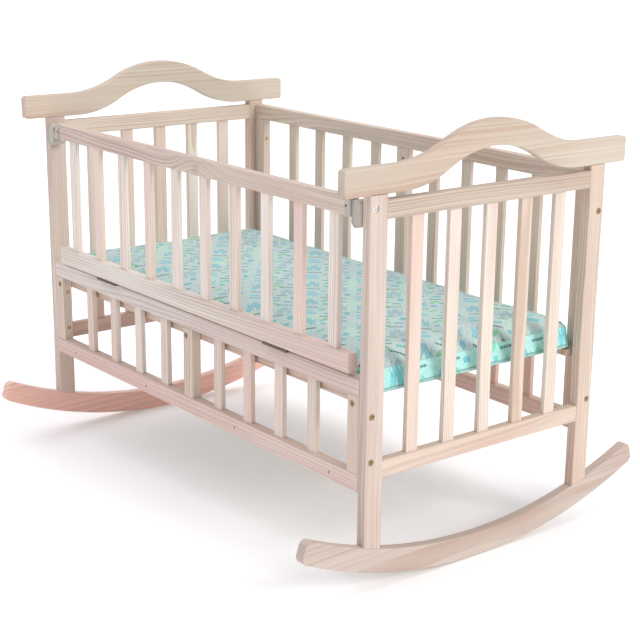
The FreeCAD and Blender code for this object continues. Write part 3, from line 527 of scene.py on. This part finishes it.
def zigzag(u, v, place, pitch, tall, half_wide):
    """How far above or below a zigzag line a point is, and whether it lies within the mark."""
    wave = abs(((u - place[0]) / pitch).fraction() - 0.5) * (2.0 * tall)
    away = abs(v - place[1] - wave + tall / 2)
    return away, bar_mark(u, v, place, (half_wide, tall * 0.62))


def fluff(graph, u, v):
    """Raised fibres of the cotton, a few millimetres across."""
    return graph.noise(graph.join(u * 0.34, v * 0.30, 5.0), 1.0, 2.0, 0.7)


def printed(graph, u, v):
    """Repeating print of stripes, dashes, ovals, zigzags and leaves on a mottled ground."""
    column = (u / TILE_WIDE).floor()
    wobble = (graph.noise(graph.join(u, v, 0.0), 0.08, 1.0) - 0.5) * UNEVEN
    odd = (column / 2.0).fraction() * 2.0
    local_u = (u / TILE_WIDE).fraction() * TILE_WIDE + wobble
    local_v = (v / TILE_TALL + odd * COLUMN_SHIFT).fraction() * TILE_TALL + wobble

    stripes = union([bar_mark(local_u, local_v, *bar) for bar in STRIPES])
    short = union([bar_mark(local_u, local_v, *bar) for bar in SHORT_BARS])
    short = short.most(oval_mark(local_u, local_v, *SHORT_OVAL))
    leaves = union([oval_mark(local_u, local_v, *leaf) for leaf in LEAVES])
    dots = (local_u / 3.7).fraction().ramp(0.66, 0.76, 1.0, 0.0)
    dashes = union([bar_mark(local_u, local_v, *bar, 0.4) for bar in DASHES]) * dots

    # two broad zigzags with a dark rim, one filled and one hatched
    stroke, band = zigzag(local_u, local_v, (20.0, 96.0), 18.0, 34.0, 13.5)
    filled = stroke.ramp(14.0, 16.0, 1.0, 0.0) * band
    rim = stroke.ramp(11.5, 13.5) * filled
    second, second_band = zigzag(local_u, local_v, (76.0, 62.0), 17.0, 36.0, 13.0)
    hatched = second.ramp(13.0, 15.0, 1.0, 0.0) * second_band
    second_rim = second.ramp(10.5, 12.5) * hatched
    lines = ((local_u + local_v) / 4.2).fraction().ramp(0.40, 0.62)

    glow = graph.noise(graph.join(u, v, 3.0), 0.014, 2.0, 0.5)
    cloud = graph.noise(graph.join(u, v, 9.0), 0.03, 2.0, 0.5)
    colour = graph.mix(cloud.ramp(0.35, 0.65), MINT, AQUA)
    colour = graph.mix(glow.ramp(0.50, 0.68, 0.0, 0.55), colour, GLOW)
    haze = fluff(graph, u, v)
    slub = graph.noise(graph.join(u * 0.26, v * 0.30, 17.0), 1.0, 2.0, 0.7)
    colour = graph.mix(haze.ramp(0.46, 0.68, 0.0, 0.62), colour, HAZE)
    colour = graph.mix(slub.ramp(0.52, 0.70, 0.0, 0.45), colour, FLECK)
    colour = graph.mix(short * 0.70, colour, TEAL)
    colour = graph.mix(stripes * 0.70, colour, TURQUOISE)
    colour = graph.mix(filled * 0.65, colour, TURQUOISE)
    colour = graph.mix(hatched * lines * 0.75, colour, TEAL)
    colour = graph.mix(rim.most(second_rim) * 0.80, colour, INK)
    colour = graph.mix(leaves * 0.75, colour, LEAF)
    return graph.mix(dashes, colour, INK)


def cotton():
    """Printed cotton. The print lies flat on the top and stands upright on the sides."""
    graph = Graph("printed_cotton")
    x, y, z = graph.place()
    face_x, face_y, face_z = [abs(way) for way in graph.facing()]
    flat = face_z.ramp(0.52, 0.54)
    at_end = (face_x - face_y).ramp(-0.01, 0.01)
    turn = math.radians(PRINT_TURN)
    cosine, sine = math.cos(turn), math.sin(turn)
    side_u = x + (y - x) * at_end
    u = (side_u + (x * cosine + y * sine - side_u) * flat) * 1000.0
    v = (z + (y * cosine - x * sine - z) * flat) * 1000.0 + SIDE_LIFT
    # painted light on the sides of the pad
    colour = graph.mix(1.0 - flat, printed(graph, u, v), SIDE_PAINTED_LIGHT, blend="MULTIPLY")
    warp = (u * (math.tau / WEAVE)).sine()
    weft = (v * (math.tau / WEAVE)).sine()
    weave = warp * weft
    # painted highlight on the raised threads of the weave
    colour = graph.mix(weave.ramp(-0.2, 0.9, 0.0, 0.12), colour, SHINE)
    graph.bump(weave * 0.5 + fluff(graph, u, v), 0.00018, 0.6)
    return graph.finish(colour, Roughness=0.85, Sheen_Weight=0.15, Sheen_Roughness=0.4)


def thread():
    """Twisted cord of the piping."""
    graph = Graph("seam_thread")
    x, y, z = graph.place()
    twist = ((x + y + z * 2.0) * (math.tau / TWIST)).sine()
    fuzz = graph.noise(graph.join(x, y, z), 1800.0, 2.0, 0.6)
    # painted shade in the twist's grooves and painted highlight on its ridges
    colour = graph.mix(twist.ramp(-0.6, 0.8), (0.16, 0.36, 0.34), (0.36, 0.62, 0.57))
    graph.bump(twist + fuzz, 0.0002, 0.6)
    return graph.finish(colour, Roughness=0.8)


# the pad's first shape, in metres
VOXEL = 0.007
EDGE_ROUND = 0.018
CROWN = 0.010
CROWN_REACH = 0.075
START_SMALLER = 0.010
START_LOWER = 0.006
START_LIFT = 0.001

# how cloth swells it; near the hem its points may move less
SWELL_FRAMES = 20
SWELL_CAP = 0.008
SWELL_PRESSURE = 4.0
HEM_TALL = 0.030
HEM_SHARE = 0.15

# how it fills the CAD box, and the loose ripples in its top
SIDE_GAP = 0.001
BASE_GAP = 0.0003
PAD_PROUD = 0.003
RIPPLE_REACH = 0.060
RIPPLE_ACROSS = 22
RIPPLE_UP = 30
RIPPLE_ALL = 0.0006
RIPPLE_RIM = 0.0020

# the sewn seam
SEAM_HEIGHT = 0.010
SEAM_CORNER = 0.030
SEAM_TURNS = 10
SEAM_STEP = 0.006
SEAM_PROUD = 0.0004
SEAM_SEARCH = 0.2
PIPING_RADIUS = 0.0014
TWIST = 0.0022


def settled(piece):
    """A plain mesh of a piece with its modifiers applied."""
    graph = bpy.context.evaluated_depsgraph_get()
    graph.update()
    return bpy.data.meshes.new_from_object(piece.evaluated_get(graph))


def swap_mesh(piece, mesh):
    """Give a piece another mesh and drop its modifiers and its old mesh."""
    old = piece.data
    piece.modifiers.clear()
    piece.data = mesh
    bpy.data.meshes.remove(old)


def soft_box(piece, size, centre):
    """Dense closed pad: a box with rounded edges whose top falls away towards its rim."""
    shape = bmesh.new()
    bmesh.ops.create_cube(shape, size=1.0)
    bmesh.ops.scale(shape, vec=size, verts=shape.verts)
    hem = [edge for edge in shape.edges if all(vertex.co.z < 0 for vertex in edge.verts)]
    rest = [edge for edge in shape.edges if edge not in hem]
    bmesh.ops.bevel(shape, geom=rest, offset=EDGE_ROUND, segments=5, profile=0.5, affect="EDGES")
    bmesh.ops.translate(shape, vec=centre, verts=shape.verts)
    shape.to_mesh(piece.data)
    shape.free()
    remesh = piece.modifiers.new("even", "REMESH")
    remesh.mode = "VOXEL"
    remesh.voxel_size = VOXEL
    swap_mesh(piece, settled(piece))
    for vertex in piece.data.vertices:
        place = vertex.co - centre
        inward = min(size.x / 2 - abs(place.x), size.y / 2 - abs(place.y))
        fall = max(0.0, 1.0 - max(inward, 0.0) / CROWN_REACH) ** 2
        height = (place.z + size.z / 2) / size.z
        vertex.co.z -= CROWN * fall * max(height, 0.0) ** 2


def fit_between(piece, low, high):
    """Stretch a mesh so that it fills the box from low to high."""
    places = [vertex.co for vertex in piece.data.vertices]
    for axis in range(3):
        start = min(place[axis] for place in places)
        end = max(place[axis] for place in places)
        gain = (high[axis] - low[axis]) / (end - start)
        for place in places:
            place[axis] = low[axis] + (place[axis] - start) * gain


def inflate(piece, cap):
    """Let cloth under a little pressure swell the pad; no point moves further than cap, less near the hem."""
    scene = bpy.context.scene
    start = [vertex.co.copy() for vertex in piece.data.vertices]
    base = min(first.z for first in start)
    cloth = piece.modifiers.new("air", "CLOTH")
    cloth.settings.quality = 5
    cloth.settings.use_pressure = True
    cloth.settings.uniform_pressure_force = SWELL_PRESSURE
    cloth.settings.effector_weights.gravity = 0.0
    cloth.point_cache.frame_end = SWELL_FRAMES
    for number in range(1, SWELL_FRAMES + 1):
        scene.frame_set(number)
    swollen = settled(piece)
    scene.frame_set(1)
    swap_mesh(piece, swollen)
    for vertex, first in zip(swollen.vertices, start):
        move = vertex.co - first
        allowed = cap * min(1.0, HEM_SHARE + (first.z - base) / HEM_TALL)
        if move.length > allowed:
            vertex.co = first + move.normalized() * allowed


def seam(piece, height):
    """Points on the pad's side all round, at one height."""
    tree = bvhtree.BVHTree.FromObject(piece, bpy.context.evaluated_depsgraph_get())
    low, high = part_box("mattress_cover")
    centre = (low + high) / 2
    half = (high - low) / 2 - Vector((SEAM_CORNER, SEAM_CORNER, 0))
    corners = []
    quarter = [math.radians(90 * step / SEAM_TURNS) for step in range(SEAM_TURNS + 1)]
    for index, (way_x, way_y) in enumerate(((1, 1), (-1, 1), (-1, -1), (1, -1))):
        for angle in quarter:
            heading = angle + math.pi / 2 * index
            aim = Vector((math.cos(heading), math.sin(heading), 0))
            root = Vector((centre.x + way_x * half.x, centre.y + way_y * half.y, height))
            corners.append((root, aim))
    ring = []
    for index, (root, aim) in enumerate(corners):
        ring.append((root, aim))
        following = corners[(index + 1) % len(corners)][0]
        steps = int((following - root).length / SEAM_STEP)
        ring.extend((root.lerp(following, step / steps), aim) for step in range(1, steps))
    found = []
    for root, aim in ring:
        hit = tree.ray_cast(root + aim * SEAM_SEARCH, -aim)[0]
        if hit is not None:
            found.append(hit + aim * SEAM_PROUD)
    return found


def piping(name, points):
    """Closed piping sewn along the points."""
    curve = bpy.data.curves.new(name, "CURVE")
    curve.dimensions = "3D"
    curve.bevel_depth = PIPING_RADIUS
    curve.bevel_resolution = 3
    spline = curve.splines.new("POLY")
    spline.points.add(len(points) - 1)
    for point, place in zip(spline.points, points):
        point.co = (*place, 1.0)
    spline.use_cyclic_u = True
    curve.materials.append(thread())
    piece = bpy.data.objects.new(name, curve)
    bpy.context.scene.collection.objects.link(piece)
    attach(piece, "mattress")


def rumple(piece, low, high, top):
    """Loose ripples in the pad's top, strongest near its rim."""
    for vertex in piece.data.vertices:
        place = vertex.co
        rim = min(high.x - abs(place.x), high.y - abs(place.y))
        near = max(0.0, 1.0 - max(rim, 0.0) / RIPPLE_REACH)
        lift = min(max((place.z - low.z) / (top - low.z), 0.0), 1.0)
        wave = Vector((place.x * RIPPLE_ACROSS, place.y * RIPPLE_ACROSS, place.z * RIPPLE_UP))
        place.z += noise.noise(wave) * (RIPPLE_ALL + RIPPLE_RIM * near) * lift


def mattress():
    """Crowned, cloth-covered pad with a sewn seam round its lower edge."""
    low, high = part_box("mattress_cover")
    piece = bpy.data.objects.new("printed_mattress", bpy.data.meshes.new("printed_mattress"))
    bpy.context.scene.collection.objects.link(piece)
    size = high - low - Vector((START_SMALLER, START_SMALLER, START_LOWER))
    height = low.z + size.z / 2 + START_LIFT
    soft_box(piece, size, Vector(((low.x + high.x) / 2, (low.y + high.y) / 2, height)))
    inflate(piece, SWELL_CAP)
    top = high.z + PAD_PROUD
    fit_between(piece, low + Vector((SIDE_GAP, SIDE_GAP, BASE_GAP)),
                Vector((high.x - SIDE_GAP, high.y - SIDE_GAP, top)))
    rumple(piece, low, high, top)
    for polygon in piece.data.polygons:
        polygon.use_smooth = True
    smooth = piece.modifiers.new("fine", "SUBSURF")
    smooth.levels = smooth.render_levels = 1
    piece.data.materials.clear()
    piece.data.materials.append(cotton())
    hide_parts("mattress_cover", "mattress_core")
    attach(piece, "mattress")
    piping("mattress_piping", seam(piece, low.z + SEAM_HEIGHT))


# ---------------------------------------------------------------- stage

FLOOR_SIZE = 200
FLOOR_GLOW = 0.10
SKY_COLOUR = (0.955, 0.955, 1.045, 1.0)
SKY_LEVEL = 0.55
WHITE = (1.0, 1.0, 1.0, 1.0)

# the photograph's viewpoint: place and reach in metres, angles in degrees, lens in mm on a 36 mm sensor
VIEW_PLACE = (2.2588, -1.7362, 1.1082)
VIEW_HEADING = 50.453
VIEW_DIP = 16.660
VIEW_ROLL = 1.006
VIEW_LENS = 84.56
VIEW_SHIFT = (-0.0503, 0.0446)
VIEW_REACH = 200.0


def stage():
    """Pale floor, and a soft sky that the camera sees as plain white."""
    graph = Graph("studio_floor")
    x, y, z = graph.place()
    mottle = graph.noise(graph.join(x, y, z), 3.0, 3.0, 0.5)
    colour = graph.mix(mottle, (0.945, 0.945, 0.945), (0.96, 0.957, 0.953))
    material = graph.finish(colour, Roughness=0.75, Specular_IOR_Level=0.15,
                            Emission_Color=WHITE, Emission_Strength=FLOOR_GLOW)
    bpy.ops.mesh.primitive_plane_add(size=FLOOR_SIZE, location=(0, 0, 0))
    floor = bpy.context.object
    floor.name = "studio_floor"
    floor.data.materials.append(material)

    world = bpy.data.worlds.new("studio")
    bpy.context.scene.world = world
    world.use_nodes = True
    tree = world.node_tree
    sky = tree.nodes["Background"]
    sky.inputs["Color"].default_value = SKY_COLOUR
    sky.inputs["Strength"].default_value = SKY_LEVEL
    backdrop = tree.nodes.new("ShaderNodeBackground")
    backdrop.inputs["Color"].default_value = WHITE
    choice = tree.nodes.new("ShaderNodeMixShader")
    tree.links.new(tree.nodes.new("ShaderNodeLightPath").outputs["Is Camera Ray"], choice.inputs[0])
    tree.links.new(sky.outputs[0], choice.inputs[1])
    tree.links.new(backdrop.outputs[0], choice.inputs[2])
    tree.links.new(choice.outputs[0], tree.nodes["World Output"].inputs["Surface"])
    bpy.context.scene.view_settings.view_transform = "Standard"


def soft_sun(name, bearing, height, spread, level, colour):
    """Even light from a wide patch of sky, in degrees: bearing and height say where it is, spread how wide.

    At level 1 it alone lights a white surface that faces it to white.
    """
    lamp = bpy.data.lights.new(name, "SUN")
    lamp.energy = level * math.pi
    lamp.angle = math.radians(spread)
    lamp.color = colour
    item = bpy.data.objects.new(name, lamp)
    turn = math.radians(bearing)
    tilt = math.radians(height)
    source = Vector((math.cos(turn) * math.cos(tilt), math.sin(turn) * math.cos(tilt), math.sin(tilt)))
    item.rotation_euler = source.to_track_quat("Z", "Y").to_euler()
    bpy.context.scene.collection.objects.link(item)


def lights():
    soft_sun("key", 15.0, 32.0, 26.0, 0.50, (1.0, 0.965, 0.915))
    soft_sun("overhead", 200.0, 75.0, 80.0, 0.50, (0.99, 0.99, 1.0))


def camera():
    """The photograph's viewpoint, with its slight roll and off-centre crop."""
    heading, dip, roll = (math.radians(angle) for angle in (VIEW_HEADING, VIEW_DIP, VIEW_ROLL))
    forward = Vector((-math.sin(heading) * math.cos(dip), math.cos(heading) * math.cos(dip), -math.sin(dip)))
    level = forward.cross(Vector((0, 0, 1))).normalized()
    upright = level.cross(forward)
    right = level * math.cos(roll) + upright * math.sin(roll)
    up = upright * math.cos(roll) - level * math.sin(roll)
    lens = bpy.data.cameras.new("camera")
    lens.lens = VIEW_LENS
    lens.shift_x, lens.shift_y = VIEW_SHIFT
    lens.clip_end = VIEW_REACH
    item = bpy.data.objects.new("camera", lens)
    turn = Matrix((right, up, -forward)).transposed()
    item.matrix_world = Matrix.Translation(VIEW_PLACE) @ turn.to_4x4()
    bpy.context.scene.collection.objects.link(item)
    bpy.context.scene.camera = item


stage()
lights()
camera()
dress_ends()
dress_sides()
dress_gate_and_bed()
dress_fittings()
mattress()
